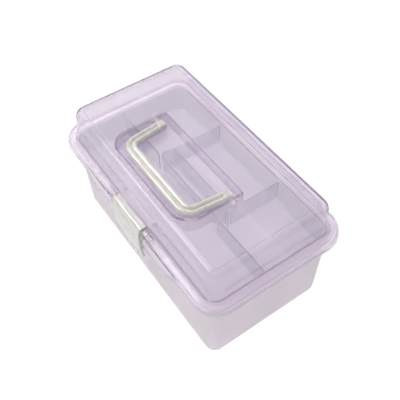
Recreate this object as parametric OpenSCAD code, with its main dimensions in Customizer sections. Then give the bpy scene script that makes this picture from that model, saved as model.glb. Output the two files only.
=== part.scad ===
// Sewing box: frosted tub, hinged clear lid with a folding carry handle and a front latch,
// and one lift-out compartment tray. Millimetres, +Z up, the table at z = 0, the front at -Y.

/* [Tub] */
// Length of the tub across its underside
tub_len = 224.8; // [190:0.2:280]
// Width of the tub across its underside
tub_wid = 122.6; // [110:0.2:160]
// Height of the tub rim above the table
rim_z = 94; // [90:0.5:120]
// Wall of the tub
wall = 2; // [1.8:0.1:2.4]
// Floor of the tub
floor_t = 2.2; // [1.8:0.1:3]
// Outward lean of the tub walls, per mm of height
draft = 0.027; // [0.015:0.001:0.035]
// Corner radius of the tub in plan, at the underside
tub_r = 10; // [8:0.5:14]
// Rounding under the edge of the tub
base_r = 3.2; // [1:0.2:4]
// Height of the ledge that carries the tray, above the table
ledge_z = 63.9; // [50:0.5:66]
// Outward step of the collar above the ledge
collar_step = 0.7; // [0.4:0.1:1.2]
// Width of the tray ledge
ledge_w = 1.8; // [1.6:0.1:2.4]
// Thickness of the rim flange
rim_t = 2.15; // [1.6:0.05:3]

/* [Feet] */
// Height of a foot below the tub
foot_h = 1.3; // [0.8:0.1:3]
// Radius of a foot
foot_r = 4.2; // [3:0.1:6]
// Radius of the peg that holds a foot
peg_r = 1.8; // [1.2:0.1:2.4]
// Foot centre from the tub end
foot_in_x = 13; // [11:0.5:25]
// Foot centre from the tub side
foot_in_y = 13; // [11:0.5:25]

/* [Lid] */
// Overhang of the lid flange past the tub underside, each end
lid_over_x = 11.55; // [10:0.05:13]
// Overhang of the lid flange past the tub underside, front and back
lid_over_y = 10.55; // [10:0.05:12]
// Wall of the lid
lid_wall = 1.75; // [1.5:0.05:2]
// Height of the lid above the tub rim
crown_h = 32.7; // [30:0.5:50]
// Width of the flat flange round the crown
flange_w = 10.45; // [10:0.05:11.5]
// Gap between the rim flange and the lid skirt
skirt_gap = 1.6; // [1.2:0.1:2]
// Gap between the rim and the lid that lies on it
seat_gap = 0.3; // [0.2:0.05:0.5]
// Depth of the lid edge below the rim, at ends, corners and back
lip_drop = 6.3; // [4:0.1:7]
// How much lower the edge runs in the middle of the front
lip_dip = 11; // [6:0.5:12]
// Height of the lip band along the edge
lip_h = 3.1; // [2:0.1:4]
// How far the lip band stands proud of the skirt
lip_out = 0.7; // [0.4:0.05:1]

/* [Handle] */
// Half length of the handle recess
recess_half = 58.1; // [56:0.1:64]
// Front edge of the recess, forward of the middle
recess_front = 50; // [46:0.5:51]
// Back edge of the recess, behind the middle
recess_back = 7.5; // [6:0.1:12]
// Corner radius at the front of the recess
recess_r = 18; // [12:0.5:22]
// Depth of the recess
recess_d = 13; // [12:0.5:16]
// Width of the handle bar along the front
bar_w = 12; // [9:0.1:13]
// Width of the handle legs
leg_w = 10.6; // [8:0.1:12]
// Lean of the handle legs toward the middle, in degrees
leg_lean = 5.8; // [0:0.1:9]
// Thickness of the handle bar
bar_t = 7; // [5:0.1:8]
// Top of the handle below the crown
bar_sink = 3; // [2:0.1:4]
// Gap between the handle and the sides of the recess
bar_side_gap = 2.4; // [1.5:0.1:3]
// Gap between the handle and the front of the recess
bar_front_gap = 5.7; // [3:0.1:8]
// Corner radius of the handle on its middle line
bar_r = 10; // [7:0.5:14]
// Handle pivot, forward of the middle of the box
pivot_y = 1; // [0:0.1:3]
// Radius of the handle pivots
stub_r = 2.4; // [1.8:0.1:2.8]

/* [Latch] */
// Half width of the latch
latch_half = 22.1; // [16:0.1:26]
// Gap beside the latch in the lid
latch_gap = 2.4; // [1.5:0.1:3]
// Thickness of the latch
latch_t = 2.2; // [1.8:0.1:2.6]
// Corner radius at the foot of the latch
latch_r = 8; // [4:0.5:10]
// Height of the latch foot above the table
latch_foot = 50.5; // [46:0.5:54]
// Length of a latch housing along the lid
housing_len = 11.5; // [9:0.5:14]
// Latch hook below the ledge of the tub
hook_drop = 6.2; // [5.8:0.1:6.6]
// Latch hook from the side of the latch
hook_in = 6; // [4:0.5:10]
// Half length of the gap in the rim flange behind the latch
rim_gap = 56; // [50:0.5:66]
// Radius of the latch trunnions
trunnion_r = 1.85; // [1.4:0.05:1.9]

/* [Hinge] */
// Radius of the hinge pins
pin_r = 1.5; // [1.2:0.05:1.8]
// Radius of the hinge knuckles
knuckle_r = 3.2; // [3:0.1:3.4]
// Hinge axis behind the lid flange
hinge_back = 0.25; // [0:0.05:1]
// Hinge axis below the rim
hinge_drop = 13; // [12:0.1:16]
// Gap between neighbouring knuckles
knuckle_gap = 0.9; // [0.5:0.1:1.2]
// Height of the webs under a tub knuckle, below the hinge axis
web_h = 10; // [6:0.5:12]
// Length of a knuckle on the lid
lid_knuckle = 15; // [10:0.5:18]
// Length of the knuckle on the tub
tub_knuckle = 13.6; // [10:0.2:18]
// Middle of each hinge from the end of the tub
hinge_in = 44; // [38:0.2:50]

/* [Tray] */
// Gap round the tray inside the collar
tray_gap = 0.8; // [0.5:0.1:1]
// Wall of the tray and its dividers
tray_wall = 1.6; // [1.2:0.1:2]
// Floor of the tray
tray_floor = 1.8; // [1.4:0.1:2.4]
// Tray rim below the tub rim
tray_sink = 2; // [1.6:0.1:6]
// Lengthwise divider, forward of the middle
divider_y = 8.3; // [6:0.1:20]
// Lengthwise divider and grip below the tray rim
divider_sink = 2; // [0.5:0.1:6]
// Cross dividers from the middle
cross_x = 44.6; // [30:0.2:60]
// Cross dividers below the tray rim
cross_sink = 2.8; // [1:0.1:8]
// Half length of the finger grip, inside
grip_half = 45.8; // [36:0.2:60]
// Radius of the round ends of the finger grip, inside
grip_r = 7; // [6:0.1:9]
// Depth of the finger grip below the divider top
grip_depth = 14; // [8:0.5:18]

/* [Fits] */
// Radial clearance of a pivot that turns
pivot_fit = 0.08; // [0.04:0.01:0.1]
// Clearance of a piece that lies loose
loose_fit = 0.3; // [0.25:0.05:0.5]

/* [Hidden] */
seg = 8;
round_fn = 64;

// Tub
tub_a = tub_len / 2;
tub_b = tub_wid / 2;
base_z = foot_h;
function lean(z) = draft * (z - base_z);
top_a = tub_a + collar_step + lean(rim_z);
top_b = tub_b + collar_step + lean(rim_z);
collar_in_a = tub_a + collar_step + lean(ledge_z) - wall + 0.2;
collar_in_b = tub_b + collar_step + lean(ledge_z) - wall + 0.2;
collar_top_a = top_a - wall + 0.6;
collar_top_b = top_b - wall + 0.6;
collar_r = tub_r + 2;
foot_x = tub_a - foot_in_x;
foot_y = tub_b - foot_in_y;

// Lid
lid_a = tub_a + lid_over_x;
lid_b = tub_b + lid_over_y;
crown_a = lid_a - flange_w;
crown_b = lid_b - flange_w;
crown_r = 12.4;
skirt_a = lid_a - lid_wall;
skirt_b = lid_b - lid_wall;
rim_a = skirt_a - skirt_gap;
rim_b = skirt_b - skirt_gap;
rim_r = crown_r + flange_w - lid_wall - skirt_gap;
seat_z = rim_z + seat_gap;
lid_z = rim_z + crown_h;
lip_z = rim_z - lip_drop;
dip_from = 54;
dip_to = 80;

// Recess, handle
recess_z = lid_z - recess_d;
cup_wall = lid_wall;
bar_top = lid_z - bar_sink;
bar_x = recess_half - bar_side_gap - leg_w / 2;
bar_y = recess_front - bar_front_gap - bar_w / 2;
pivot_z = bar_top - bar_t / 2;
boss_r = stub_r + 2.4;
boss_x = recess_half + 4.4;
stub_x = recess_half + 3;

// Latch
latch_y = lid_b - 4.75;
latch_z = rim_z - 1.85;
roof_z = rim_z + 2.8;
latch_h = roof_z - latch_foot;
notch_half = latch_half + latch_gap;
notch_y = crown_b + 1.5;
trunnion_x = notch_half + 3.2;
cheek_x = notch_half + 5;
cheek_back = trunnion_r + 0.15;
housing_x = notch_half + housing_len;
hook_y = latch_y - 0.05;
hook_z = ledge_z - hook_drop;

// Hinge
hinge_x = tub_a - hinge_in;
hinge_y = lid_b + hinge_back;
hinge_z = rim_z - hinge_drop;
tub_kn_in = hinge_x - tub_knuckle / 2;
tub_kn_out = hinge_x + tub_knuckle / 2;
pin_in = tub_kn_in - knuckle_gap - lid_knuckle;
pin_out = tub_kn_out + knuckle_gap + lid_knuckle;

// Tray
tray_z = ledge_z + loose_fit;
tray_a = collar_in_a - tray_gap;
tray_b = collar_in_b - tray_gap;
tray_r = collar_r - wall - tray_gap;
tray_top = rim_z - tray_sink;
tray_lean = lean(tray_top) - lean(tray_z) + 0.3;
divider_top = tray_top - divider_sink;
grip_y = tray_wall / 2 + grip_r - divider_y;

// Which piece to build

frost = [0.83, 0.78, 0.83];
clear = [0.84, 0.78, 0.87];
pearl = [0.95, 0.93, 0.90];
steel = [0.72, 0.72, 0.74];

// One quarter round of a plan loop
function corner(cx, cy, r, from, z) =
    [for (i = [0 : seg]) [cx + r * cos(from + 90 * i / seg), cy + r * sin(from + 90 * i / seg), z]];

// Rounded rectangle in plan, with extra points along the front edge
function plan(a, b, rf, rb, z, fx = []) = concat(
    [for (x = fx) [x, -b, z]],
    corner(a - rf, -b + rf, rf, -90, z),
    corner(a - rb, b - rb, rb, 0, z),
    corner(-a + rb, b - rb, rb, 90, z),
    corner(-a + rf, -b + rf, rf, 180, z));

// Closed skin through a list of loops that all have the same number of points. Its two ends
// are fans from the point number apex, or one face each where apex is -1
module skin(loops, apex = -1) {
    n = len(loops[0]);
    m = len(loops);
    last = (m - 1) * n;
    polyhedron(
        points = [for (l = loops) each l],
        faces = concat(
            apex < 0 ? [[for (j = [0 : n - 1]) j], [for (j = [n - 1 : -1 : 0]) last + j]]
                : [for (j = [1 : n - 2]) each
                    [[apex, (apex + j) % n, (apex + j + 1) % n],
                     [last + apex, last + (apex + j + 1) % n, last + (apex + j) % n]]],
            [for (i = [0 : m - 2]) for (j = [0 : n - 1]) each
                [[i * n + j, (i + 1) * n + j, i * n + (j + 1) % n],
                 [i * n + (j + 1) % n, (i + 1) * n + j, (i + 1) * n + (j + 1) % n]]]),
        convexity = 8);
}

// Cylinder along X between two stations
module rod_x(x0, x1, y, z, r) {
    translate([x0, y, z])
        rotate([0, 90, 0])
            cylinder(h = x1 - x0, r = r, $fn = round_fn);
}

// Block from its two corners
module block(lo, hi) {
    translate(lo)
        cube(hi - lo);
}

// The same thing on the left and on the right
module both() {
    children();
    mirror([1, 0, 0])
        children();
}

module tub() {
    color(frost)
        difference() {
            union() {
                tub_shell();
                both()
                    tub_hinge_arm();
                catch_ridge();
            }
            both()
                rod_x(tub_kn_in - 1, tub_kn_out + 1, hinge_y, hinge_z, pin_r);
            for (sx = [-1, 1])
                for (sy = [-1, 1])
                    translate([sx * foot_x, sy * foot_y, 0])
                        cylinder(h = base_z + floor_t + 1, r = peg_r, $fn = round_fn);
            // room for the latch and its housings in the front of the rim
            block([-rim_gap, -rim_b - 5, rim_z - rim_t - 1], [rim_gap, -top_b, rim_z + 1]);
            block([-rim_gap, -rim_b - 5, rim_z - 2.4], [rim_gap, -tub_b + 5, rim_z + 1]);
        }
}

function tub_out(z, o = 0) = plan(tub_a + lean(z) + o, tub_b + lean(z) + o,
    tub_r + lean(z) + o, tub_r + lean(z) + o, z);
function tub_in(z, o = 0) = tub_out(z, o - wall);

module tub_shell() {
    skin(concat(
        [for (i = [0 : 5]) let (t = 90 * i / 5)
            tub_out(base_z + base_r * (1 - cos(t)), -base_r * (1 - sin(t)))],
        [tub_out(ledge_z - 0.6),
         tub_out(ledge_z + 0.2, collar_step),
         tub_out(rim_z - rim_t - 0.8, collar_step),
         plan(rim_a, rim_b, rim_r, rim_r, rim_z - rim_t),
         plan(rim_a, rim_b, rim_r, rim_r, rim_z - 0.4),
         plan(rim_a - 0.4, rim_b - 0.4, rim_r - 0.4, rim_r - 0.4, rim_z),
         plan(collar_top_a, collar_top_b, collar_r - wall + 2, collar_r - wall + 2, rim_z),
         plan(collar_in_a, collar_in_b, collar_r - wall, collar_r - wall, ledge_z),
         plan(collar_in_a - ledge_w, collar_in_b - ledge_w,
              collar_r - wall - ledge_w, collar_r - wall - ledge_w, ledge_z),
         plan(collar_in_a - ledge_w, collar_in_b - ledge_w,
              collar_r - wall - ledge_w, collar_r - wall - ledge_w, ledge_z - 1.6),
         tub_in(ledge_z - 4),
         tub_in(base_z + floor_t + 2.4),
         tub_in(base_z + floor_t + 0.7, -0.7),
         tub_in(base_z + floor_t, -2.4)]));
}

// Knuckle and its arm on the back of the tub
module tub_hinge_arm() {
    rod_x(tub_kn_in, tub_kn_out, hinge_y, hinge_z, knuckle_r);
    block([tub_kn_in, tub_b + 1.4, hinge_z - 2.4], [tub_kn_out, hinge_y, hinge_z + 2.4]);
    for (x = [tub_kn_in, tub_kn_out - 1.6])
        translate([x, 0, 0])
            rotate([90, 0, 90])
                linear_extrude(height = 1.6)
                    polygon([[tub_b + 1.2, hinge_z - web_h], [tub_b + 3.2, hinge_z - web_h],
                             [hinge_y, hinge_z - 2.4], [hinge_y, hinge_z],
                             [tub_b + 1.2, hinge_z]]);
}

// Ridge on the front wall that the latch hook snaps under
module catch_ridge() {
    translate([-latch_half + hook_in - 1, 0, 0])
        rotate([90, 0, 90])
            linear_extrude(height = 2 * (latch_half - hook_in + 1))
                polygon([[-tub_b - 0.6, ledge_z - 2.6],
                         [-hook_y + loose_fit, ledge_z - 1.8],
                         [-hook_y + loose_fit, ledge_z - 0.4],
                         [-tub_b - 0.6, ledge_z + 4]]);
}

// Plan loop of the lid, o outward of the foot of the crown
front_x = concat([for (i = [0 : 6]) -dip_to + i * (dip_to - dip_from) / 6],
                 [for (i = [0 : 6]) dip_from + i * (dip_to - dip_from) / 6]);
function lid_loop(o, z) = plan(crown_a + o, crown_b + o, crown_r + o, crown_r + o, z, front_x);
function ease(t) = t <= 0 ? 0 : t >= 1 ? 1 : t * t * (3 - 2 * t);
function dipped(loop) = [for (p = loop)
    p[1] < 0 && abs(p[0]) < dip_to
        ? [p[0], p[1], p[2] - lip_dip * (1 - ease((abs(p[0]) - dip_from) / (dip_to - dip_from)))]
        : p];

module lid_shell() {
    in = flange_w - lid_wall;
    skin([
        // inside, from under the crown down to the edge
        plan(crown_a - 8.6, crown_b - 8.6, 3.4, 1.6, lid_z - lid_wall, front_x),
        lid_loop(-6.4, lid_z - lid_wall - 0.5),
        lid_loop(-4.9, lid_z - lid_wall - 1.7),
        lid_loop(-3.6, lid_z - lid_wall - 4.2),
        lid_loop(-lid_wall, seat_z + 8),
        lid_loop(0.2, seat_z + 4.6),
        lid_loop(2.2, seat_z + 1.4),
        lid_loop(5, seat_z),
        lid_loop(in - 1.4, seat_z),
        lid_loop(in - 0.3, seat_z - 1),
        lid_loop(in, seat_z - 2),
        dipped(lid_loop(in, lip_z + lip_h + 0.2)),
        dipped(lid_loop(in, lip_z)),
        // outside, from the edge up to the crown
        dipped(lid_loop(flange_w + lip_out - 0.3, lip_z)),
        dipped(lid_loop(flange_w + lip_out, lip_z + 0.4)),
        dipped(lid_loop(flange_w + lip_out, lip_z + lip_h - 0.4)),
        dipped(lid_loop(flange_w, lip_z + lip_h)),
        lid_loop(flange_w, rim_z - 0.9),
        lid_loop(flange_w - 0.35, rim_z + 0.05),
        lid_loop(flange_w - 1, rim_z + 0.8),
        lid_loop(flange_w - 2.1, rim_z + 1.5),
        lid_loop(flange_w - 3.6, rim_z + 2.05),
        lid_loop(5, rim_z + 2.8),
        lid_loop(2.8, rim_z + 4.4),
        lid_loop(1.1, rim_z + 6.6),
        lid_loop(0, rim_z + 9.4),
        lid_loop(-1.9, lid_z - 5.1),
        lid_loop(-2.6, lid_z - 2.9),
        lid_loop(-3.5, lid_z - 1.6),
        lid_loop(-4.7, lid_z - 0.85),
        lid_loop(-6.4, lid_z - 0.3),
        plan(crown_a - 8.6, crown_b - 8.6, 3.8, 1.2, lid_z, front_x)],
        len(front_x) + seg + 1);
}

// Plan outline of the handle recess, grown by g
module recess_plan(g) {
    r = recess_r + g;
    polygon(concat(
        [[recess_half + g, recess_back + g], [-recess_half - g, recess_back + g]],
        [for (i = [0 : 12]) let (t = 180 + 90 * i / 12)
            [-recess_half - g + r + r * cos(t), -recess_front - g + r + r * sin(t)]],
        [for (i = [0 : 12]) let (t = 270 + 90 * i / 12)
            [recess_half + g - r + r * cos(t), -recess_front - g + r + r * sin(t)]]));
}

module lid() {
    color(clear)
        difference() {
            union() {
                lid_shell();
                translate([0, 0, recess_z - cup_wall])
                    linear_extrude(height = recess_d + cup_wall - 0.4)
                        recess_plan(cup_wall);
                both() {
                    pivot_boss();
                    latch_housing();
                    lid_knuckles();
                }
            }
            translate([0, 0, recess_z])
                linear_extrude(height = recess_d + 1)
                    recess_plan(0);
            // room for the latch in the front of the flange
            block([-notch_half, -lid_b - 5, lip_z - lip_dip - 1], [notch_half, -notch_y, rim_z + 4.2]);
            both() {
                rod_x(recess_half - 1, stub_x + loose_fit, -pivot_y, pivot_z, stub_r + pivot_fit);
                rod_x(notch_half - 1, trunnion_x + loose_fit, -latch_y, latch_z, trunnion_r + pivot_fit);
                rod_x(pin_in - 1, pin_out + 1, hinge_y, hinge_z, pin_r + pivot_fit);
                // the tub knuckle turns between the two lid knuckles
                block([tub_kn_in - knuckle_gap, lid_b - 6, hinge_z - 6],
                      [tub_kn_out + knuckle_gap, hinge_y + 6, lip_z]);
            }
        }
}

// Boss outside the recess wall with two gussets, round the handle pivot
module pivot_boss() {
    rod_x(recess_half + 0.5, boss_x, -pivot_y, pivot_z, boss_r);
    block([recess_half + 0.5, -pivot_y - boss_r + 0.5, pivot_z],
          [boss_x - 0.4, -pivot_y + boss_r - 0.5, lid_z - 1]);
    block([recess_half + 0.5, -pivot_y - 0.8, recess_z - cup_wall],
          [boss_x - 0.4, -pivot_y + 0.8, pivot_z]);
}

// Housing under the flange that takes one latch trunnion
module latch_housing() {
    low = latch_z - trunnion_r - pivot_fit - 2.2;
    difference() {
        block([notch_half, -skirt_b - 0.5, low], [housing_x, -top_b - 0.4, seat_z + 0.6]);
        block([cheek_x, -skirt_b, low - 1], [housing_x - 1.3, -top_b - 1.6, seat_z]);
    }
}

// Two knuckles under the back edge of the lid
module lid_knuckles() {
    for (x = [pin_in, tub_kn_out + knuckle_gap]) {
        rod_x(x, x + lid_knuckle, hinge_y, hinge_z, knuckle_r);
        block([x, skirt_b + 0.1, hinge_z], [x + lid_knuckle, hinge_y + 0.3, lip_z + 1]);
    }
}

// Half of the handle section as [share of the half width, drop below the top]: a groove in the
// middle, a round bead beside it; the same below
bead = [[0, 1.45], [0.07, 1.1], [0.15, 0.5], [0.27, 0.1], [0.42, 0], [0.6, 0.15], [0.76, 0.6],
        [0.88, 1.25], [0.965, 2.2], [1, bar_t / 2]];
bead_n = len(bead) - 1;
bar_section = concat(
    [for (i = [-bead_n : bead_n]) [sign(i) * bead[abs(i)][0], bar_t / 2 - bead[abs(i)][1]]],
    [for (i = [bead_n - 1 : -1 : 1 - bead_n]) [sign(i) * bead[abs(i)][0], bead[abs(i)][1] - bar_t / 2]]);

// Middle line of the handle as [point, outward direction, half width], from the left end to the right
bar_end = bar_t / 2 - 0.4;
lean_y = bar_y - bar_r + bar_r * sin(leg_lean) - pivot_y;
turn_x = bar_x - tan(leg_lean) * lean_y - bar_r * cos(leg_lean);
left_line = concat(
    [[[-bar_x - bar_end * sin(leg_lean), bar_end * cos(leg_lean) - pivot_y],
      [-cos(leg_lean), -sin(leg_lean)], leg_w / 2]],
    [for (i = [0 : 10]) let (t = 180 + leg_lean + (90 - leg_lean) * i / 10)
        [[bar_r * cos(t) - turn_x, bar_r * sin(t) + bar_r - bar_y], [cos(t), sin(t)],
         leg_w / 2 + (bar_w - leg_w) * i / 20]]);
bar_line = concat(left_line,
    [for (i = [len(left_line) - 1 : -1 : 0]) let (q = left_line[i])
        [[-q[0][0], q[0][1]], [-q[1][0], q[1][1]], q[2]]]);

module handle() {
    color(pearl)
        union() {
            skin([for (s = bar_line)
                [for (q = bar_section)
                    [s[0][0] + s[1][0] * s[2] * q[0], s[0][1] + s[1][1] * s[2] * q[0], pivot_z + q[1]]]]);
            both()
                rod_x(bar_x, stub_x, -pivot_y, pivot_z, stub_r);
        }
}

// Side view of the latch as [y, z] outward and upward, grown inward by g
latch_side = [[notch_y + 0.4, roof_z - 0.5], [notch_y + 0.9, roof_z],
    for (q = [[-2.7, 0], [-1.2, 0.013], [-0.2, 0.041], [0.5, 0.091], [1.1, 0.177], [1.5, 0.281],
              [1.6, 0.393], [1.4, 0.518], [0.9, 0.648], [0.1, 0.778], [-1.2, 0.907], [-2.2, 1]])
        [lid_b + q[0], roof_z - q[1] * latch_h]];

module latch() {
    color(pearl)
        difference() {
            union() {
                intersection() {
                    latch_body();
                    latch_front();
                }
                rod_x(-trunnion_x, trunnion_x, -latch_y, latch_z, trunnion_r);
                latch_hook();
            }
        }
}

// Curved plate with a flat roof and two side cheeks
module latch_body() {
    back = [for (p = latch_side) [p[0] - latch_t, p[1] - (p[1] > roof_z - 3 ? latch_t : 0)]];
    n = len(latch_side);
    plate = concat(
        [for (p = latch_side) [-p[0], p[1]]],
        [[-latch_side[n - 1][0] + latch_t, latch_foot]],
        [for (i = [n - 2 : -1 : 5]) [-latch_side[i][0] + latch_t, latch_side[i][1]]],
        [[-lid_b + 2.8, roof_z - latch_t], [-notch_y - 1.5, roof_z - latch_t],
         [-notch_y - 0.4, roof_z - 1.2]]);
    translate([-latch_half, 0, 0])
        rotate([90, 0, 90])
            linear_extrude(height = 2 * latch_half)
                polygon(plate);
    for (x = [-latch_half, latch_half - 2])
        translate([x, 0, 0])
            rotate([90, 0, 90])
                linear_extrude(height = 2)
                    polygon(concat(
                        [for (i = [2 : 8]) [-latch_side[i][0] + 0.2, latch_side[i][1] - 0.2]],
                        [[-latch_y - 2.6, roof_z - 0.3 * latch_h], [-latch_y + cheek_back, latch_z - 2.2],
                         [-latch_y + cheek_back, roof_z - 1.6]]));
}

// Front view of the latch: a rectangle with two round lower corners
module latch_front() {
    rotate([90, 0, 0])
        linear_extrude(height = lid_b + 2 * latch_t)
            polygon(concat(
                [[latch_half, roof_z + 1], [-latch_half, roof_z + 1]],
                [for (i = [0 : 8]) let (t = 180 + 90 * i / 8)
                    [-latch_half + latch_r + latch_r * cos(t),
                     latch_foot + latch_r + latch_r * sin(t)]],
                [for (i = [0 : 8]) let (t = 270 + 90 * i / 8)
                    [latch_half - latch_r + latch_r * cos(t),
                     latch_foot + latch_r + latch_r * sin(t)]]));
}

// Hook inside the latch that snaps under the ridge of the tub
module latch_hook() {
    translate([-latch_half + hook_in, 0, 0])
        rotate([90, 0, 90])
            linear_extrude(height = 2 * (latch_half - hook_in))
                polygon([[-lid_b + 0.2, hook_z - 3], [-hook_y - 0.8, hook_z - 0.6],
                         [-hook_y, hook_z + 0.6], [-hook_y, hook_z + 1.8],
                         [-lid_b + 0.2, hook_z + 2.4]]);
}

module tray() {
    color(frost)
        difference() {
            union() {
                tray_shell();
                // lengthwise divider, open where the grip stands
                for (s = [-1, 1])
                    block([s > 0 ? grip_half : -tray_a + 0.3, -divider_y - tray_wall / 2,
                           tray_z + tray_floor - 0.2],
                          [s > 0 ? tray_a - 0.3 : -grip_half, -divider_y + tray_wall / 2,
                           divider_top]);
                for (s = [-1, 1])
                    block([s * cross_x - tray_wall / 2, grip_y + grip_r + 0.3,
                           tray_z + tray_floor - 0.2],
                          [s * cross_x + tray_wall / 2, tray_b - 0.3, tray_top - cross_sink]);
                translate([0, grip_y, tray_z])
                    linear_extrude(height = divider_top - tray_z)
                        stadium(tray_wall);
            }
            translate([0, grip_y, divider_top - grip_depth])
                linear_extrude(height = grip_depth + 1)
                    stadium(0);
            // the grip is cored out from below
            translate([0, grip_y, tray_z - 1])
                linear_extrude(height = divider_top - grip_depth - tray_wall - tray_z + 1)
                    stadium(0);
        }
}

function tray_loop(z, o) = let (k = tray_lean * (z - tray_z) / (tray_top - tray_z))
    plan(tray_a + k + o, tray_b + k + o, tray_r + k + o, tray_r + k + o, z);

module tray_shell() {
    skin([tray_loop(tray_z, -1.2), tray_loop(tray_z + 0.4, -0.4), tray_loop(tray_z + 1.2, 0),
          tray_loop(tray_top - 0.3, 0), tray_loop(tray_top, -0.3),
          tray_loop(tray_top, -tray_wall + 0.3), tray_loop(tray_top - 0.3, -tray_wall),
          tray_loop(tray_z + tray_floor + 1.2, -tray_wall),
          tray_loop(tray_z + tray_floor + 0.3, -tray_wall - 0.5),
          tray_loop(tray_z + tray_floor, -tray_wall - 1.4)]);
}

// Long round-ended outline of the grip, grown by g
module stadium(g) {
    x = grip_half - grip_r;
    r = grip_r + g;
    polygon(concat(
        [for (i = [0 : 16]) let (t = 90 - 180 * i / 16) [x + r * cos(t), r * sin(t)]],
        [for (i = [0 : 16]) let (t = 270 - 180 * i / 16) [-x + r * cos(t), r * sin(t)]]));
}

module hinge_pin_right() {
    color(steel)
        rod_x(pin_in, pin_out, hinge_y, hinge_z, pin_r);
}

module hinge_pin_left() {
    color(steel)
        rod_x(-pin_out, -pin_in, hinge_y, hinge_z, pin_r);
}

// Round foot with its peg
module foot(sx, sy) {
    color(frost)
        translate([sx * foot_x, sy * foot_y, 0]) {
            cylinder(h = foot_h, r = foot_r, $fn = round_fn);
            cylinder(h = base_z + floor_t, r = peg_r, $fn = round_fn);
        }
}

module foot_front_left() { foot(-1, -1); }
module foot_front_right() { foot(1, -1); }
module foot_back_left() { foot(-1, 1); }
module foot_back_right() { foot(1, 1); }

tub();
lid();
handle();
latch();
tray();
hinge_pin_left();
hinge_pin_right();
foot_front_left();
foot_front_right();
foot_back_left();
foot_back_right();
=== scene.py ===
import bmesh
import bpy
import math
from mathutils import Matrix, Vector


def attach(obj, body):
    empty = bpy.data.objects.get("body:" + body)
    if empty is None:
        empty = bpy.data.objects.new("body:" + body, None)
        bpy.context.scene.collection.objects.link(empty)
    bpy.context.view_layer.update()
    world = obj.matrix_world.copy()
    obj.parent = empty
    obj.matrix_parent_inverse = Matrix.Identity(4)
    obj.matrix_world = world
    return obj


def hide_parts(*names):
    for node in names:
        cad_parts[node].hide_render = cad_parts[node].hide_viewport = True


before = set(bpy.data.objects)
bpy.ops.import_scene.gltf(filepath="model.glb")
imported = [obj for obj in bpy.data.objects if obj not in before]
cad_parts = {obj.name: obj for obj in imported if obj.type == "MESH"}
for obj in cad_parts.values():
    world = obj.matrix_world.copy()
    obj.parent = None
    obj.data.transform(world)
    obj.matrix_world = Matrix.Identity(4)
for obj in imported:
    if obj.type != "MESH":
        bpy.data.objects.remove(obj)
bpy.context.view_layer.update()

# The table and the light. The box stands on a plain white table in a white room, under one
# broad soft lamp above its front left side, with a small weak lamp in front and one at the right.
world = bpy.data.worlds.new("white_room")
bpy.context.scene.world = world
world.use_nodes = True
room = world.node_tree
room_light = room.nodes["Background"]
room_light.inputs["Strength"].default_value = 0.62
room_gloss = room.nodes.new("ShaderNodeBackground")
room_gloss.inputs["Strength"].default_value = 1.3
room_seen = room.nodes.new("ShaderNodeBackground")
room_seen.inputs["Color"].default_value = (1, 1, 1, 1)
room_seen.inputs["Strength"].default_value = 1.0
# The room is brighter at the left and dimmer at the right: once for soft light, once for what is
# mirrored, which is dimmer in front as well.
toward = room.nodes.new("ShaderNodeTexCoord")
for background, way, start, end, dark in ((room_light, (0.86, -0.10, -0.50), -0.5, 0.8, 0.90),
                                          (room_gloss, (0.74, -0.35, 0.50), -0.36, 0.12, 0.32)):
    turned = room.nodes.new("ShaderNodeVectorMath")
    turned.operation = "DOT_PRODUCT"
    turned.inputs[1].default_value = way
    room.links.new(toward.outputs["Generated"], turned.inputs[0])
    dim = room.nodes.new("ShaderNodeMapRange")
    dim.interpolation_type = "SMOOTHSTEP"
    dim.inputs["From Min"].default_value = start
    dim.inputs["From Max"].default_value = end
    room.links.new(turned.outputs["Value"], dim.inputs["Value"])
    shade = room.nodes.new("ShaderNodeMix")
    shade.data_type = "RGBA"
    shade.inputs[6].default_value = (1.0, 1.0, 1.0, 1)
    shade.inputs[7].default_value = (dark, dark, dark, 1)
    room.links.new(dim.outputs["Result"], shade.inputs[0])
    room.links.new(shade.outputs[2], background.inputs["Color"])
ray = room.nodes.new("ShaderNodeLightPath")
lit = room.nodes.new("ShaderNodeMixShader")
room.links.new(ray.outputs["Is Diffuse Ray"], lit.inputs[0])
room.links.new(room_gloss.outputs[0], lit.inputs[1])
room.links.new(room_light.outputs[0], lit.inputs[2])
either = room.nodes.new("ShaderNodeMath")
either.operation = "MAXIMUM"
room.links.new(ray.outputs["Is Camera Ray"], either.inputs[0])
room.links.new(ray.outputs["Is Transmission Ray"], either.inputs[1])
pick = room.nodes.new("ShaderNodeMixShader")
room.links.new(either.outputs[0], pick.inputs[0])
room.links.new(lit.outputs[0], pick.inputs[1])
room.links.new(room_seen.outputs[0], pick.inputs[2])
room.links.new(pick.outputs[0], room.nodes["World Output"].inputs["Surface"])

table_paint = bpy.data.materials.new("table_white")
table_paint.use_nodes = True
paint = table_paint.node_tree
paint_skin = paint.nodes["Principled BSDF"]
paint_skin.inputs["Base Color"].default_value = (0.93, 0.93, 0.93, 1)
paint_skin.inputs["Roughness"].default_value = 0.9
paint_skin.inputs["Specular IOR Level"].default_value = 0.1
paint_glow = paint.nodes.new("ShaderNodeEmission")
paint_glow.inputs["Strength"].default_value = 1.04
ray = paint.nodes.new("ShaderNodeLightPath")
share = paint.nodes.new("ShaderNodeMath")
share.operation = "MULTIPLY"
share.inputs[1].default_value = 0.15
paint.links.new(ray.outputs["Is Transmission Ray"], share.inputs[0])
either = paint.nodes.new("ShaderNodeMath")
either.operation = "MULTIPLY_ADD"
either.inputs[1].default_value = 0.92
paint.links.new(ray.outputs["Is Camera Ray"], either.inputs[0])
paint.links.new(share.outputs[0], either.inputs[2])
mirrored = paint.nodes.new("ShaderNodeMath")
mirrored.operation = "MULTIPLY_ADD"
mirrored.inputs[1].default_value = 0.35
paint.links.new(ray.outputs["Is Glossy Ray"], mirrored.inputs[0])
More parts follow.
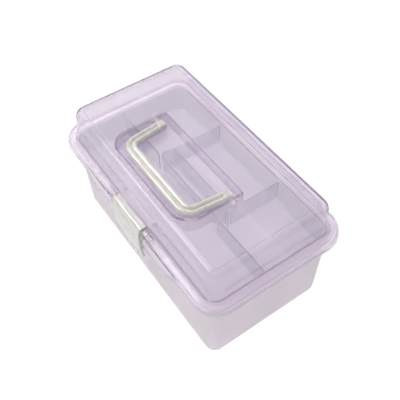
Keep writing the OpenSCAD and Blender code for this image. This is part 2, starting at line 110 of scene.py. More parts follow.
paint.links.new(either.outputs[0], mirrored.inputs[2])
pick = paint.nodes.new("ShaderNodeMixShader")
paint.links.new(mirrored.outputs[0], pick.inputs[0])
paint.links.new(paint_skin.outputs[0], pick.inputs[1])
paint.links.new(paint_glow.outputs[0], pick.inputs[2])
paint.links.new(pick.outputs[0], paint.nodes["Material Output"].inputs["Surface"])
table_mesh = bpy.data.meshes.new("table_top")
table_mesh.from_pydata([(-3, -3, 0), (3, -3, 0), (3, 3, 0), (-3, 3, 0)], [], [(0, 1, 2, 3)])
table_top = bpy.data.objects.new("table_top", table_mesh)
bpy.context.collection.objects.link(table_top)
table_mesh.materials.append(table_paint)


def soft_lamp(name, place, aim, width, power):
    lamp = bpy.data.lights.new(name, "AREA")
    lamp.size = width
    lamp.energy = power
    lamp_object = bpy.data.objects.new(name, lamp)
    bpy.context.collection.objects.link(lamp_object)
    lamp_object.location = place
    lamp_object.rotation_euler = (Vector(aim) - Vector(place)).to_track_quat("-Z", "Y").to_euler()


soft_lamp("lamp_top", (-0.42, -0.28, 0.88), (0, 0, 0.06), 0.5, 2.8)
soft_lamp("lamp_front", (-0.50, -0.55, 0.48), (-0.02, 0, 0.06), 0.22, 0.15)
soft_lamp("lamp_side", (0.45, -0.85, 0.7), (0, 0, 0.08), 0.16, 0.4)

# The camera looks down on the front right corner of the box, from about arm's length, with a
# normal lens. White stays white with the plain view transform.
camera = bpy.data.cameras.new("camera")
camera.lens = 53.718
camera.sensor_width = 36
camera_object = bpy.data.objects.new("camera", camera)
bpy.context.collection.objects.link(camera_object)
camera_object.location = (0.291343, -0.18745, 0.502409)
camera_object.rotation_euler = (0.66639, 0.019062, 0.962475)
bpy.context.scene.camera = camera_object
bpy.context.scene.view_settings.view_transform = "Standard"

# Tub: one injection moulding in frosted lilac plastic. Its walls lean out a little, a step above
# the middle carries the tray, and a flat flange runs round the rim. All sizes are millimetres.
MM = 0.001
TUB_BASE = 1.3
TUB_HALF = (112.4, 61.3)
TUB_LEAN = 0.027
RIM_Z = 94.0
LEDGE_Z = 63.9
RIM_HALF = (120.6, 68.5)
RIM_GAP = 56
FLOOR_R = 3.2
HINGE_Y = 72.1
HINGE_Z = 81.0
KNUCKLE_R = 3.2


def plan_loop(half_x, half_y, r, z, r_back=None, front_x=(), arc=14):
    """Rounded rectangle in plan, anticlockwise from the front left corner."""
    r_back = r if r_back is None else r_back
    loop = [(x, -half_y, z) for x in front_x]
    for cx, cy, rad, start in (
        (half_x - r, r - half_y, r, -90),
        (half_x - r_back, half_y - r_back, r_back, 0),
        (r_back - half_x, half_y - r_back, r_back, 90),
        (r - half_x, r - half_y, r, 180),
    ):
        for i in range(arc + 1):
            turn = math.radians(start + 90 * i / arc)
            loop.append((cx + rad * math.cos(turn), cy + rad * math.sin(turn), z))
    return loop


def wrap_loops(form, loops):
    """Skins neighbouring loops with four-sided faces and returns the loops' vertices."""
    rows = [[form.verts.new((x * MM, y * MM, z * MM)) for x, y, z in loop] for loop in loops]
    for here, there in zip(rows, rows[1:]):
        for j in range(len(here)):
            k = (j + 1) % len(here)
            form.faces.new((here[j], here[k], there[k], there[j]))
    return rows


def soften(line, steps=4):
    """A smooth curve through the points of a profile, with its two ends kept."""
    out = []
    for i in range(len(line) - 1):
        a = line[max(i - 1, 0)]
        b, c = line[i], line[i + 1]
        d = line[min(i + 2, len(line) - 1)]
        for s in range(steps):
            t = s / steps
            out.append(tuple(
                0.5 * (2 * b[n] + (c[n] - a[n]) * t + (2 * a[n] - 5 * b[n] + 4 * c[n] - d[n]) * t * t
                       + (3 * b[n] - a[n] - 3 * c[n] + d[n]) * t ** 3)
                for n in range(2)))
    return out + [line[-1]]


def make_piece(name, form, crisp=32):
    """Turns a form into a scene object with smooth faces and crisp edges."""
    bmesh.ops.remove_doubles(form, verts=form.verts, dist=1e-7)
    bmesh.ops.recalc_face_normals(form, faces=form.faces)
    mesh = bpy.data.meshes.new(name)
    form.to_mesh(mesh)
    form.free()
    piece = bpy.data.objects.new(name, mesh)
    bpy.context.collection.objects.link(piece)
    mesh.shade_smooth()
    mesh.set_sharp_from_angle(angle=math.radians(crisp))
    return piece


def loft(name, loops, crisp=32):
    """Closed solid through loops, with a flat face at each end."""
    form = bmesh.new()
    rows = wrap_loops(form, loops)
    form.faces.new(rows[0])
    form.faces.new(rows[-1])
    return make_piece(name, form, crisp)


def slab(name, low, high, soft=0.0):
    """Block between two corners with its edges rounded by soft."""
    form = bmesh.new()
    bmesh.ops.create_cube(form, size=1)
    for v in form.verts:
        v.co = Vector([(low[n] + (high[n] - low[n]) * (v.co[n] + 0.5)) * MM for n in range(3)])
    if soft:
        bmesh.ops.bevel(form, geom=list(form.edges), offset=soft * MM, segments=3, profile=0.5,
                        affect="EDGES")
    return make_piece(name, form)


def rod(name, x0, x1, y, z, r, soft=0.0, around=40):
    """Round bar along X with its two ends rounded by soft."""
    soft = max(soft, 0.001)
    steps = [(x0, r - soft), (x0 + 0.3 * soft, r - 0.3 * soft), (x0 + soft, r),
             (x1 - soft, r), (x1 - 0.3 * soft, r - 0.3 * soft), (x1, r - soft)]
    turns = [2 * math.pi * i / around for i in range(around)]
    return loft(name, [[(x, y + q * math.cos(turn), z + q * math.sin(turn)) for turn in turns]
                       for x, q in steps])


def extrude_side(name, x0, x1, outline):
    """Plate whose side view is an outline of y and z, from x0 to x1."""
    return loft(name, [[(x0, y, z) for y, z in outline], [(x1, y, z) for y, z in outline]])


def work(piece, tool, how):
    """Joins a tool shape to a piece, or cuts it away, and throws the tool shape away."""
    change = piece.modifiers.new("work", "BOOLEAN")
    change.operation = how
    change.solver = "EXACT"
    change.object = tool
    bpy.context.view_layer.update()
    made = bpy.data.meshes.new_from_object(piece.evaluated_get(bpy.context.evaluated_depsgraph_get()))
    piece.modifiers.remove(change)
    old = piece.data
    piece.data = made
    made.name = piece.name
    bpy.data.meshes.remove(old)
    bpy.data.objects.remove(tool)
    piece.data.shade_smooth()
    piece.data.set_sharp_from_angle(angle=math.radians(32))


def even_normals(piece):
    """Lets broad flat faces keep their own shade where they run into small roundings."""
    shade = piece.modifiers.new("even_normals", "WEIGHTED_NORMAL")
    shade.keep_sharp = True
    shade.weight = 80


def tub_loop(z, out=0.0):
    grow = TUB_LEAN * (z - TUB_BASE) + out
    return plan_loop(TUB_HALF[0] + grow, TUB_HALF[1] + grow, 10 + grow, z)


def clear_plastic(name, clear, bend, skin_shine, colour, colour_2, polish, deep_colour, depth,
                  grain_size, grain, open_colour):
    """See-through plastic: a faint haze, darker where it is thick, with moulding flow and a fine grain."""
    made = bpy.data.materials.new(name)
    made.use_nodes = True
    nodes, links = made.node_tree.nodes, made.node_tree.links
    skin = nodes["Principled BSDF"]
    skin.inputs["Transmission Weight"].default_value = clear
    skin.inputs["IOR"].default_value = bend
    skin.inputs["Coat Weight"].default_value = skin_shine
    skin.inputs["Coat IOR"].default_value = 1.5
    skin.inputs["Coat Roughness"].default_value = 0.05
    where = nodes.new("ShaderNodeTexCoord")
    flow = nodes.new("ShaderNodeTexNoise")
    flow.inputs["Scale"].default_value = 11.0
    flow.inputs["Detail"].default_value = 3.0
    links.new(where.outputs["Object"], flow.inputs["Vector"])
    tint = nodes.new("ShaderNodeMix")
    tint.data_type = "RGBA"
    tint.inputs[6].default_value = (*colour, 1)
    tint.inputs[7].default_value = (*colour_2, 1)
    links.new(flow.outputs["Fac"], tint.inputs[0])
    links.new(tint.outputs[2], skin.inputs["Base Color"])
    gloss = nodes.new("ShaderNodeMapRange")
    gloss.inputs["To Min"].default_value = polish[0]
    gloss.inputs["To Max"].default_value = polish[1]
    links.new(flow.outputs["Fac"], gloss.inputs["Value"])
    links.new(gloss.outputs["Result"], skin.inputs["Roughness"])
    specks = nodes.new("ShaderNodeTexNoise")
    specks.inputs["Scale"].default_value = grain_size
    specks.inputs["Detail"].default_value = 2.0
    links.new(where.outputs["Object"], specks.inputs["Vector"])
    relief = nodes.new("ShaderNodeBump")
    relief.inputs["Strength"].default_value = grain
    relief.inputs["Distance"].default_value = 0.0002
    links.new(specks.outputs["Fac"], relief.inputs["Height"])
    links.new(relief.outputs["Normal"], skin.inputs["Normal"])
    # Lamps shine through it onto what lies inside.
    ray = nodes.new("ShaderNodeLightPath")
    through = nodes.new("ShaderNodeBsdfTransparent")
    through.inputs["Color"].default_value = (*open_colour, 1)
    pick = nodes.new("ShaderNodeMixShader")
    links.new(ray.outputs["Is Shadow Ray"], pick.inputs[0])
    links.new(skin.outputs[0], pick.inputs[1])
    links.new(through.outputs[0], pick.inputs[2])
    links.new(pick.outputs[0], nodes["Material Output"].inputs["Surface"])
    inside = nodes.new("ShaderNodeVolumeAbsorption")
    inside.inputs["Color"].default_value = (*deep_colour, 1)
    inside.inputs["Density"].default_value = depth
    links.new(inside.outputs[0], nodes["Material Output"].inputs["Volume"])
    return made


base_turn = [math.radians(90 * i / 8) for i in range(9)]
tub = loft("tub_wall",
    [tub_loop(TUB_BASE + FLOOR_R * (1 - math.cos(t)), -FLOOR_R * (1 - math.sin(t))) for t in base_turn]
    + [tub_loop(LEDGE_Z - 0.7), tub_loop(LEDGE_Z - 0.4, 0.12), tub_loop(LEDGE_Z, 0.58),
       tub_loop(LEDGE_Z + 0.4, 0.7), tub_loop(RIM_Z - 3.2, 0.7), tub_loop(RIM_Z - 2.5, 0.9),
       tub_loop(RIM_Z - 2.15, 1.6)]
    + [plan_loop(RIM_HALF[0] + o, RIM_HALF[1] + o, 19.5 + o, z) for o, z in
       ((-0.3, RIM_Z - 2.15), (0, RIM_Z - 1.85), (0, RIM_Z - 0.5), (-0.15, RIM_Z - 0.15), (-0.5, RIM_Z))]
    + [plan_loop(114.2 + o, 63.1 + o, 12 + o, z) for o, z in
       ((0.5, RIM_Z), (0.1, RIM_Z - 0.15), (0, RIM_Z - 0.5))]
    + [plan_loop(113.0 + o, 61.9 + o, 10.2 + o, z) for o, z in
       ((0.1, LEDGE_Z + 0.5), (-0.1, LEDGE_Z + 0.1), (-0.4, LEDGE_Z), (-1.5, LEDGE_Z), (-1.8, LEDGE_Z - 0.3),
        (-1.8, LEDGE_Z - 1.6))]
    + [tub_loop(LEDGE_Z - 4, -2), tub_loop(TUB_BASE + 4.6, -2), tub_loop(TUB_BASE + 3.1, -2.5),
       tub_loop(TUB_BASE + 2.4, -3.4), tub_loop(TUB_BASE + 2.2, -4.8)])
for side in (-1, 1):
    ends = sorted((side * 61.6, side * 75.2))
    work(tub, rod("knuckle", ends[0], ends[1], HINGE_Y, HINGE_Z, KNUCKLE_R, 0.3), "UNION")
    work(tub, slab("arm", (ends[0] + 0.1, 62.9, HINGE_Z - 2.4),
                   (ends[1] - 0.1, HINGE_Y, HINGE_Z + 2.4), 0.3), "UNION")
    for x in (ends[0] + 0.1, ends[1] - 1.7):
        work(tub, extrude_side("web", x, x + 1.6, [(62.7, HINGE_Z - 10), (64.5, HINGE_Z - 10),
             (HINGE_Y, HINGE_Z - 2.4), (HINGE_Y, HINGE_Z), (62.7, HINGE_Z)]), "UNION")
    work(tub, rod("pin_bore", ends[0] - 1, ends[1] + 1, HINGE_Y, HINGE_Z, 1.52), "DIFFERENCE")
work(tub, extrude_side("catch", -17, 17, [
    (-62, LEDGE_Z - 2.6), (-66.6, LEDGE_Z - 1.9), (-66.75, LEDGE_Z - 1.6),
    (-66.75, LEDGE_Z - 0.7), (-66.6, LEDGE_Z - 0.4), (-62, LEDGE_Z + 4)]), "UNION")
work(tub, slab("flange_gap", (-RIM_GAP, -80, RIM_Z - 3.15), (RIM_GAP, -64.55, RIM_Z + 1)), "DIFFERENCE")
work(tub, slab("rim_dip", (-RIM_GAP, -80, RIM_Z - 2.4), (RIM_GAP, -56, RIM_Z + 1), 0.5), "DIFFERENCE")
even_normals(tub)
frosted = clear_plastic(
    "frosted_lilac", clear=0.70, bend=1.4, skin_shine=0.0, colour=(0.955, 0.92, 0.95),
    colour_2=(0.97, 0.94, 0.965), polish=(0.30, 0.38), deep_colour=(0.80, 0.60, 0.74), depth=16,
    grain_size=900, grain=0.25, open_colour=(0.97, 0.95, 0.97))
tub.data.materials.append(frosted)
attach(tub, "tub_body")
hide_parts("tub")

# Feet: four round studs of the same frosted plastic, one at each corner. A peg on each is
# pressed into the floor of the tub.
FOOT_X = 99.4
FOOT_Y = 48.3
for where_x, side in ((-FOOT_X, "left"), (FOOT_X, "right")):
    for where_y, end in ((-FOOT_Y, "front"), (FOOT_Y, "back")):
        foot = loft(f"foot_{end}_{side}_stud", [
            [(where_x + q * math.cos(2 * math.pi * i / 48), where_y + q * math.sin(2 * math.pi * i / 48), z)
             for i in range(48)]
            for q, z in ((3.7, 0), (4.05, 0.1), (4.2, 0.4), (4.2, 1.0), (4.1, 1.22), (3.8, 1.27))])
        foot.data.materials.append(frosted)
        even_normals(foot)
        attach(foot, "tub_body")
        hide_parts(f"foot_{end}_{side}")

# Hinge pins: two plain lengths of drawn steel wire, pressed into the knuckles of the tub. The
# knuckles of the lid turn on them.
pin_metal = bpy.data.materials.new("drawn_steel")
pin_metal.use_nodes = True
metal = pin_metal.node_tree
metal_skin = metal.nodes["Principled BSDF"]
metal_skin.inputs["Metallic"].default_value = 1.0
metal_skin.inputs["Base Color"].default_value = (0.62, 0.62, 0.64, 1)
where = metal.nodes.new("ShaderNodeTexCoord")
squeeze = metal.nodes.new("ShaderNodeMapping")
squeeze.inputs["Scale"].default_value = (40, 1800, 1800)
metal.links.new(where.outputs["Object"], squeeze.inputs["Vector"])
lines = metal.nodes.new("ShaderNodeTexNoise")
metal.links.new(squeeze.outputs["Vector"], lines.inputs["Vector"])
dull = metal.nodes.new("ShaderNodeMapRange")
dull.inputs["To Min"].default_value = 0.25
dull.inputs["To Max"].default_value = 0.5
metal.links.new(lines.outputs["Fac"], dull.inputs["Value"])
metal.links.new(dull.outputs["Result"], metal_skin.inputs["Roughness"])
for name in ("hinge_pin_left", "hinge_pin_right"):
    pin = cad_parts[name]
    pin.data.materials.clear()
    pin.data.materials.append(pin_metal)

# Tray: a thin clear moulding that lies on the ledge of the tub. One long compartment in front,
# three pockets behind it, and a long round-ended well in the middle for the fingers.
TRAY_Z = 64.2
TRAY_TOP = 92.0
DIVIDER_TOP = 90.0
WELL_HALF = 45.8
CROSS_X = 44.6


def tray_loop(z, out=0.0):
    grow = 1.05 * (z - TRAY_Z) / (TRAY_TOP - TRAY_Z) + out
    return plan_loop(112.2 + grow, 61.1 + grow, 9.4 + grow, z)


def long_round(grow, z, across=7.0):
    """Round-ended outline of the finger well."""
    loop = []
    for centre, start in ((WELL_HALF - across, -90), (across - WELL_HALF, 90)):
        for i in range(17):
            turn = math.radians(start + 180 * i / 16)
            loop.append((centre + (across + grow) * math.cos(turn),
                         -0.5 + (across + grow) * math.sin(turn), z))
    return loop


tray = loft("tray_clear", [tray_loop(z, o) for o, z in (
    (-1.6, TRAY_Z), (-0.8, TRAY_Z + 0.15), (-0.25, TRAY_Z + 0.6), (0, TRAY_Z + 1.5),
    (0, TRAY_TOP - 0.5), (-0.12, TRAY_TOP - 0.12), (-0.45, TRAY_TOP), (-1.15, TRAY_TOP),
    (-1.48, TRAY_TOP - 0.12), (-1.6, TRAY_TOP - 0.5),
    (-1.6, TRAY_Z + 3.6), (-1.9, TRAY_Z + 2.5), (-2.6, TRAY_Z + 1.95), (-3.6, TRAY_Z + 1.8))])
for side in (-1, 1):
    ends = sorted((side * 47.0, side * 111.9))
    work(tray, slab("long_wall", (ends[0], -9.1, TRAY_Z + 1.6), (ends[1], -7.5, DIVIDER_TOP), 0.3), "UNION")
    work(tray, slab("cross_wall", (side * CROSS_X - 0.8, 7.2, TRAY_Z + 1.6),
                    (side * CROSS_X + 0.8, 61.3, TRAY_TOP - 2.8), 0.3), "UNION")
work(tray, loft("well", [long_round(g, z) for g, z in (
    (-0.6, 74.4), (0, 73.8), (0, TRAY_Z), (1.6, TRAY_Z), (1.6, DIVIDER_TOP - 0.5), (1.45, DIVIDER_TOP - 0.12),
    (1.1, DIVIDER_TOP), (0.5, DIVIDER_TOP), (0.12, DIVIDER_TOP - 0.12), (0, DIVIDER_TOP - 0.5),
    (0, 77.4), (-0.4, 76.4), (-1.4, 76.0))]), "UNION")
work(tray, loft("well_core", [long_round(-0.05, TRAY_Z - 1), long_round(-0.05, 73.8)]), "DIFFERENCE")
even_normals(tray)
tray_plastic = clear_plastic(
    "tray_lilac", clear=0.85, bend=1.12, skin_shine=0.6, colour=(0.775, 0.775, 0.825),
    colour_2=(0.805, 0.80, 0.845), polish=(0.10, 0.16), deep_colour=(0.22, 0.32, 0.50), depth=14,
    grain_size=700, grain=0.12, open_colour=(0.94, 0.94, 0.96))
tray.data.materials.append(tray_plastic)
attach(tray, "tray_body")
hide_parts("tray")

# Lid: one clear glossy moulding. A flat plateau with a sunk D-shaped tray for the handle, a rounded
# crown, a hollow sweep out to a flat flange, and a skirt whose edge dips in the middle of the front.
LID_Z = 126.7
LID_WALL = 1.75
UNDER_Z = LID_Z - LID_WALL
LIP_Z = 87.7
LIP_DIP = 11
LID_HALF = (113.5, 61.4)
DISH_HALF = 58.1
DISH_FRONT = 50
DISH_BACK = 7.5
PIVOT_Y = -1.0
PIVOT_Z = 120.2
TRUNNION_Y = -67.1
TRUNNION_Z = 92.15
GAP_X = 24.5
GAP_R = 3.5
front_x = ([-88 + 1.5 * i for i in range(26)]
           + [-46, -36, -27, -26, -24, -12, 0, 12, 24, 26, 27, 36, 46]
           + [50.5 + 1.5 * i for i in range(26)])


def lid_loop(out, z, dip=0.0):
    """Outline of the lid at a height; the front middle can run lower by dip."""
    loop = plan_loop(LID_HALF[0] + out, LID_HALF[1] + out, 12.4 + out, z, front_x=front_x)
    lowered = []
    for x, y, height in loop:
        share = min(max((abs(x) - 54) / 26, 0), 1)
        drop = dip * (1 - share * share * (3 - 2 * share)) if y < 0 and abs(x) < 80 else 0
        lowered.append((x, y, height - drop))
    return lowered


def crease_loop(inset, r_front, r_back, z):
    """Outline near the crease of the plateau, which has tighter corners behind."""
    return plan_loop(LID_HALF[0] - inset, LID_HALF[1] - inset, r_front, z, r_back=r_back, front_x=front_x)


def recess_loop(grow, z):
    """D-shaped outline: square corners behind, wide round corners in front."""
    r_front, r_back = 18 + grow, 0.9 + max(grow, -0.4)
    loop = []
    for cx, cy, rad, start in (
        (DISH_HALF + grow - r_front, r_front - DISH_FRONT - grow, r_front, -90),
        (DISH_HALF + grow - r_back, DISH_BACK + grow - r_back, r_back, 0),
        (r_back - DISH_HALF - grow, DISH_BACK + grow - r_back, r_back, 90),
        (r_front - DISH_HALF - grow, r_front - DISH_FRONT - grow, r_front, 180),
    ):
        for i in range(15):
            turn = math.radians(start + 90 * i / 14)
            loop.append((cx + rad * math.cos(turn), cy + rad * math.sin(turn), z))
    return loop


def ring_edges(form, row):
    return [form.edges.get((row[i], row[(i + 1) % len(row)])) for i in range(len(row))]


outer = soften([(10.45, 92.9), (10.2, 93.9), (9.5, 94.75), (8.4, 95.4), (6.85, 95.95), (5.2, 96.6),
                (3.0, 98.1), (1.2, 100.5), (0.1, 103.6)])
outer += soften([(-0.2, 106.5), (-1.55, 119.4), (-2.1, 122.2), (-3.0, 124.2), (-4.3, 125.4), (-6.2, 125.95)])
inner = soften([(8.7, 92.2), (8.4, 93.3), (7.4, 94.2), (5.3, 94.4), (3.0, 95.3), (1.0, 97.6), (-1.0, 101.4),
                (-2.0, 106.0)])
inner += soften([(-2.1, 107.2), (-3.35, 119.4), (-4.0, 121.7), (-4.9, 123.2), (-6.0, 124.2), (-7.0, 124.7)])
form = bmesh.new()
skirt = ([lid_loop(8.7, 91.6)] + [lid_loop(8.7, z, LIP_DIP) for z in (91.0, 88.1)]
         + [lid_loop(o, z, LIP_DIP) for o, z in (
             (8.8, 87.85), (9.0, LIP_Z), (10.8, LIP_Z), (11.05, 87.85), (11.15, 88.15),
             (11.15, 90.2), (11.05, 90.5), (10.75, 90.75), (10.5, 90.9))]
         + [lid_loop(10.45, 91.3, LIP_DIP), lid_loop(10.45, 91.8)])
crease_rib = [crease_loop(*step) for step in (
    (10.2, 2.2, 0.9, UNDER_Z), (9.9, 2.5, 1.0, UNDER_Z - 0.9), (9.4, 3.0, 1.5, UNDER_Z - 1.3),
    (8.9, 3.5, 2.0, UNDER_Z - 0.9), (8.6, 3.8, 2.2, UNDER_Z))]
crease = [crease_loop(*step) for step in (
    (8.45, 3.95, 1.35, 126.05), (8.55, 3.85, 1.25, LID_Z - 0.12), (8.8, 3.6, 1.1, LID_Z))]
rows = wrap_loops(form, crease_rib + [lid_loop(o, z) for o, z in reversed(inner)] + skirt
                  + [lid_loop(o, z) for o, z in outer] + crease)
dish_top = wrap_loops(form, [recess_loop(g, z) for g, z in (
    (0.45, LID_Z), (0.12, LID_Z - 0.12), (0, LID_Z - 0.45), (0, 115.2), (-0.3, 114.3),
    (-0.9, 113.85), (-1.8, 113.7))])
dish_under = wrap_loops(form, [recess_loop(g, z) for g, z in (
    (1.75, UNDER_Z), (1.75, 113.4), (1.4, 112.5), (0.7, 112.05), (-0.3, 111.95))])
form.faces.new(dish_top[-1])
form.faces.new(dish_under[-1])
bmesh.ops.triangle_fill(form, use_beauty=True, use_dissolve=False,
                        edges=ring_edges(form, rows[-1]) + ring_edges(form, dish_top[0]))
bmesh.ops.triangle_fill(form, use_beauty=True, use_dissolve=False,
                        edges=ring_edges(form, rows[0]) + ring_edges(form, dish_under[0]))
lid = make_piece("lid_clear", form)
# Bosses beside the dish for the handle pivots, housings for the latch, and the hinge knuckles.
for side in (-1, 1):
    work(lid, rod("boss", *sorted((side * 58.8, side * 62.5)), PIVOT_Y, PIVOT_Z, 4.8, 0.4), "UNION")
    near, far = sorted((side * 59, side * 62))
    work(lid, slab("gusset", (near, -1.8, 112.6), (far, -0.2, 124.6), 0.2), "UNION")
    work(lid, rod("pivot_hole", *sorted((side * 57, side * 61.4)), PIVOT_Y, PIVOT_Z, 2.48), "DIFFERENCE")
    near, far = sorted((side * GAP_X, side * 36.0))
    work(lid, slab("housing", (near, -70.6, 88.0), (far, -64.9, 94.9), 0.3), "UNION")
    near, far = sorted((side * 29.5, side * 34.7))
    work(lid, slab("housing_hollow", (near, -70.1, 87.0), (far, -66.1, 94.3), 0.3), "DIFFERENCE")
    near, far = sorted((side * 23, side * 28.0))
    work(lid, rod("trunnion_hole", near, far, TRUNNION_Y, TRUNNION_Z, 1.93), "DIFFERENCE")
    for near, far in ((45.7, 60.7), (76.1, 91.1)):
        ends = sorted((side * near, side * far))
        work(lid, rod("knuckle", ends[0], ends[1], HINGE_Y, HINGE_Z, KNUCKLE_R, 0.3), "UNION")
        work(lid, slab("strap", (ends[0] + 0.1, 70.2, HINGE_Z), (ends[1] - 0.1, 72.4, 88.6), 0.2), "UNION")
    work(lid, rod("pin_hole", *sorted((side * 44, side * 93)), HINGE_Y, HINGE_Z, 1.58), "DIFFERENCE")
gap_plan = [(-GAP_X, -62.9), (GAP_X, -62.9), (GAP_X, -69.2)]
gap_plan += [(28.0 - GAP_R * math.cos(math.radians(a)), -69.2 - GAP_R * math.sin(math.radians(a)))
             for a in range(15, 91, 15)]
gap_plan += [(28.0, -85), (-28.0, -85)]
gap_plan += [(-28.0 + GAP_R * math.cos(math.radians(a)), -69.2 - GAP_R * math.sin(math.radians(a)))
             for a in range(90, 0, -15)]
gap_plan += [(-GAP_X, -69.2)]
work(lid, loft("latch_gap", [[(x, y, z) for x, y in gap_plan] for z in (60, 98.2)]), "DIFFERENCE")
even_normals(lid)
lid_plastic = clear_plastic(
    "clear_lilac", clear=0.90, bend=1.14, skin_shine=1.0, colour=(0.965, 0.95, 0.955),
    colour_2=(0.975, 0.96, 0.965), polish=(0.05, 0.10), deep_colour=(0.40, 0.11, 0.60), depth=50,
    grain_size=300, grain=0.0, open_colour=(0.935, 0.905, 0.935))
lid.data.materials.append(lid_plastic)
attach(lid, "lid_body")
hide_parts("lid")

# Handle: a C-shaped bail moulded in pearl-white plastic, two round beads with a groove between
# them. Two short stubs on its legs turn in the sides of the dish.
BAR_X = 50.4
BAR_Y = 38.3
BAR_R = 10.0
BAR_DEEP = 3.5
LEG_HALF = 5.3
LEAN = math.radians(5.8)


def pearl_plastic(name, light, shade):
    """Solid plastic with a pearl pigment: pale streaks along the flow, a soft sheen under a clear skin, and a
    painted warm shade in its hollows.
    """
    made = bpy.data.materials.new(name)
    made.use_nodes = True
    nodes, links = made.node_tree.nodes, made.node_tree.links
    skin = nodes["Principled BSDF"]
    skin.inputs["Metallic"].default_value = 0.25
    skin.inputs["Coat Weight"].default_value = 0.35
    skin.inputs["Coat Roughness"].default_value = 0.12
    skin.inputs["Sheen Weight"].default_value = 0.15
    where = nodes.new("ShaderNodeTexCoord")
    squeeze = nodes.new("ShaderNodeMapping")
    squeeze.inputs["Scale"].default_value = (14, 60, 60)
    links.new(where.outputs["Object"], squeeze.inputs["Vector"])
    flow = nodes.new("ShaderNodeTexNoise")
    flow.inputs["Detail"].default_value = 4.0
    flow.inputs["Distortion"].default_value = 0.6
    links.new(squeeze.outputs["Vector"], flow.inputs["Vector"])
    tint = nodes.new("ShaderNodeMix")
    tint.data_type = "RGBA"
    tint.inputs[6].default_value = (*light, 1)
    tint.inputs[7].default_value = (*shade, 1)
    spread = nodes.new("ShaderNodeMapRange")
    spread.inputs["From Min"].default_value = 0.36
    spread.inputs["From Max"].default_value = 0.64
    links.new(flow.outputs["Fac"], spread.inputs["Value"])
    links.new(spread.outputs["Result"], tint.inputs[0])
    # Painted shade: ambient occlusion turns creases and hollows, such as the groove between the beads, a warm
    # dark gold, standing in for shade and for light bounced in the pearl pigment.
    hollow = nodes.new("ShaderNodeAmbientOcclusion")
    hollow.inputs["Distance"].default_value = 0.0016
    hollow.samples = 8
    painted_warm_shade = nodes.new("ShaderNodeMix")
    painted_warm_shade.data_type = "RGBA"
    painted_warm_shade.inputs[6].default_value = (0.66, 0.58, 0.45, 1)
    links.new(hollow.outputs["AO"], painted_warm_shade.inputs[0])
    links.new(tint.outputs[2], painted_warm_shade.inputs[7])
    links.new(painted_warm_shade.outputs[2], skin.inputs["Base Color"])
    gloss = nodes.new("ShaderNodeMapRange")
    gloss.inputs["To Min"].default_value = 0.18
    gloss.inputs["To Max"].default_value = 0.32
    links.new(flow.outputs["Fac"], gloss.inputs["Value"])
    links.new(gloss.outputs["Result"], skin.inputs["Roughness"])
    relief = nodes.new("ShaderNodeBump")
    relief.inputs["Strength"].default_value = 0.06
    relief.inputs["Distance"].default_value = 0.0003
    links.new(flow.outputs["Fac"], relief.inputs["Height"])
    links.new(relief.outputs["Normal"], skin.inputs["Normal"])
    return made


def bead_section(half, groove=1.0):
    """Width outward and height of the bar's section, anticlockwise: two beads and a fine groove."""
    top = []
    for i in range(33):
        share = abs(i - 16) / 16
        round_off = 1 - math.sqrt(max(0.0, 1 - max(0.0, (share - 0.5) / 0.5) ** 2))
        dent = 1.35 * groove * (1 - min(share / 0.48, 1)) ** 2
        top.append((half * (i - 16) / 16, BAR_DEEP - BAR_DEEP * round_off - dent))
    return top + [(u, -h) for u, h in reversed(top[1:-1])]


# One leg and its corner, from the leg's end to the middle of the bar.
lean_y = BAR_Y - BAR_R + BAR_R * math.sin(LEAN) + PIVOT_Y
turn_x = BAR_X - math.tan(LEAN) * lean_y - BAR_R * math.cos(LEAN)
half_bar = []
for past, size, groove in ((3.1, 0.80, 0), (2.8, 0.91, 0), (2.1, 0.98, 0), (1.2, 1, 0), (-3.0, 1, 0),
                           (-3.9, 1, 0.6), (-4.8, 1, 1), (-10, 1, 1), (-20, 1, 1)):
    half_bar.append((-BAR_X - past * math.sin(LEAN), past * math.cos(LEAN) + PIVOT_Y, LEAN,
                     LEG_HALF * size, size, groove))
for i in range(13):
    turn = LEAN + (math.pi / 2 - LEAN) * i / 12
    half_bar.append((-turn_x - BAR_R * math.cos(turn), BAR_R - BAR_Y - BAR_R * math.sin(turn), turn,
                     LEG_HALF + 0.7 * i / 12, 1, 1))
half_bar.append((0.0, -BAR_Y, math.pi / 2, 6.0, 1, 1))
rings = []
for x, y, turn, half, size, groove in half_bar:
    rings.append([(x - math.cos(turn) * u, y - math.sin(turn) * u, PIVOT_Z + h * size)
                  for u, h in bead_section(half, groove)])
for x, y, turn, half, size, groove in reversed(half_bar[:-1]):
    rings.append([(-x + math.cos(turn) * u, y - math.sin(turn) * u, PIVOT_Z + h * size)
                  for u, h in bead_section(half, groove)])
handle = loft("handle_bail", rings, crisp=50)
for side in (-1, 1):
    work(handle, rod("stub", *sorted((side * 50, side * 61.0)), PIVOT_Y, PIVOT_Z, 2.4, 0.4), "UNION")
even_normals(handle)
pearl = pearl_plastic("pearl_white_plastic", (0.80, 0.785, 0.755), (0.64, 0.62, 0.585))
handle.data.materials.append(pearl)
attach(handle, "handle_body")
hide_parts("handle")

# Latch: a curved plate of the same pearl-white plastic with a flat roof, rounded lower corners,
# two cheeks with trunnions that turn in the lid, and a hook that snaps under the ridge of the tub.
LATCH_HALF = 22.1
LATCH_TOP = 96.8
LATCH_FOOT = 50.5
LATCH_BEND = 75
LATCH_CORNER = 8
side_line = soften([(-63.3, 96.3), (-63.8, LATCH_TOP), (-66.0, LATCH_TOP), (-69.1, 96.75),
                    (-70.6, 96.2), (-71.6, 94.9), (-72.35, 92.6), (-72.95, 88.6), (-73.35, 83.8),
                    (-73.45, 78.6), (-73.25, 72.8), (-72.75, 66.8), (-71.95, 60.8), (-70.65, 54.8),
                    (-69.65, LATCH_FOOT)], 3)
half_columns = [8, 14.1, 16, 17.5, 19, 20.5, 21.5, 21.9, LATCH_HALF]
columns = [-x for x in reversed(half_columns)] + [0] + half_columns


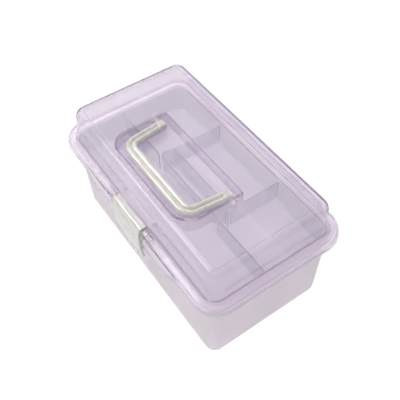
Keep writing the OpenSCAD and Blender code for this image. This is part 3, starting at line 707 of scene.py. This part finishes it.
def latch_point(k, x, inward):
    """A point of the plate: number k down its side line, at x, moved inward from its face."""
    y, z = side_line[k]
    past = max(0.0, abs(x) - (LATCH_HALF - LATCH_CORNER))
    foot_z = LATCH_FOOT + LATCH_CORNER - math.sqrt(max(0.0, LATCH_CORNER ** 2 - past * past))
    low_z = max(z, LATCH_FOOT)
    new_z = z
    if z <= LATCH_BEND:
        new_z = LATCH_BEND - (LATCH_BEND - low_z) * (LATCH_BEND - foot_z) / (LATCH_BEND - LATCH_FOOT)
        for (ya, za), (yb, zb) in zip(side_line, side_line[1:]):
            if za >= new_z >= zb and za != zb:
                y = ya + (yb - ya) * (za - new_z) / (za - zb)
    a, b = side_line[max(k - 1, 0)], side_line[min(k + 1, len(side_line) - 1)]
    along = Vector((b[0] - a[0], b[1] - a[1])).normalized()
    return (x, y - along.y * inward, new_z + along.x * inward)


form = bmesh.new()
faces_out = [[form.verts.new(Vector(latch_point(k, x, 0)) * MM) for x in columns]
             for k in range(len(side_line))]
faces_in = [[form.verts.new(Vector(latch_point(k, x, 2.2 if 3 < k else 1.2)) * MM) for x in columns]
            for k in range(len(side_line))]
last_k, last_c = len(side_line) - 1, len(columns) - 1
for k in range(last_k):
    for c in range(last_c):
        form.faces.new((faces_out[k][c], faces_out[k][c + 1], faces_out[k + 1][c + 1], faces_out[k + 1][c]))
        form.faces.new((faces_in[k][c], faces_in[k + 1][c], faces_in[k + 1][c + 1], faces_in[k][c + 1]))
for k in range(last_k):
    for c in (0, last_c):
        form.faces.new((faces_out[k][c], faces_out[k + 1][c], faces_in[k + 1][c], faces_in[k][c]))
for c in range(last_c):
    for k in (0, last_k):
        form.faces.new((faces_out[k][c], faces_out[k][c + 1], faces_in[k][c + 1], faces_in[k][c]))
latch = make_piece("latch_plate", form)
for side in (-1, 1):
    near, far = sorted((side * 20.1, side * 22.0))
    work(latch, extrude_side("cheek", near, far, [
        (-70.3, 95.6), (-71.7, 92), (-72.4, 86), (-72.6, 80), (-70, 82.5), (-65.9, 89.6),
        (-65.1, 92), (-65.2, 95.6)]), "UNION")
    near, far = sorted((side * 21, side * 27.7))
    work(latch, rod("trunnion", near, far, TRUNNION_Y, TRUNNION_Z, 1.85, 0.3), "UNION")
work(latch, extrude_side("hook", -16, 16, [
    (-71.2, 54.8), (-67.85, 57.1), (-67.1, 58.2), (-67.05, 58.6), (-67.05, 59.2), (-67.4, 59.6),
    (-71.8, 60.2)]), "UNION")
round_over = latch.modifiers.new("round_over", "BEVEL")
round_over.width = 0.35 * MM
round_over.segments = 3
round_over.limit_method = "ANGLE"
round_over.angle_limit = math.radians(50)
even_normals(latch)
latch.data.materials.append(pearl)
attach(latch, "latch_body")
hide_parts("latch")

bpy.context.view_layer.update()
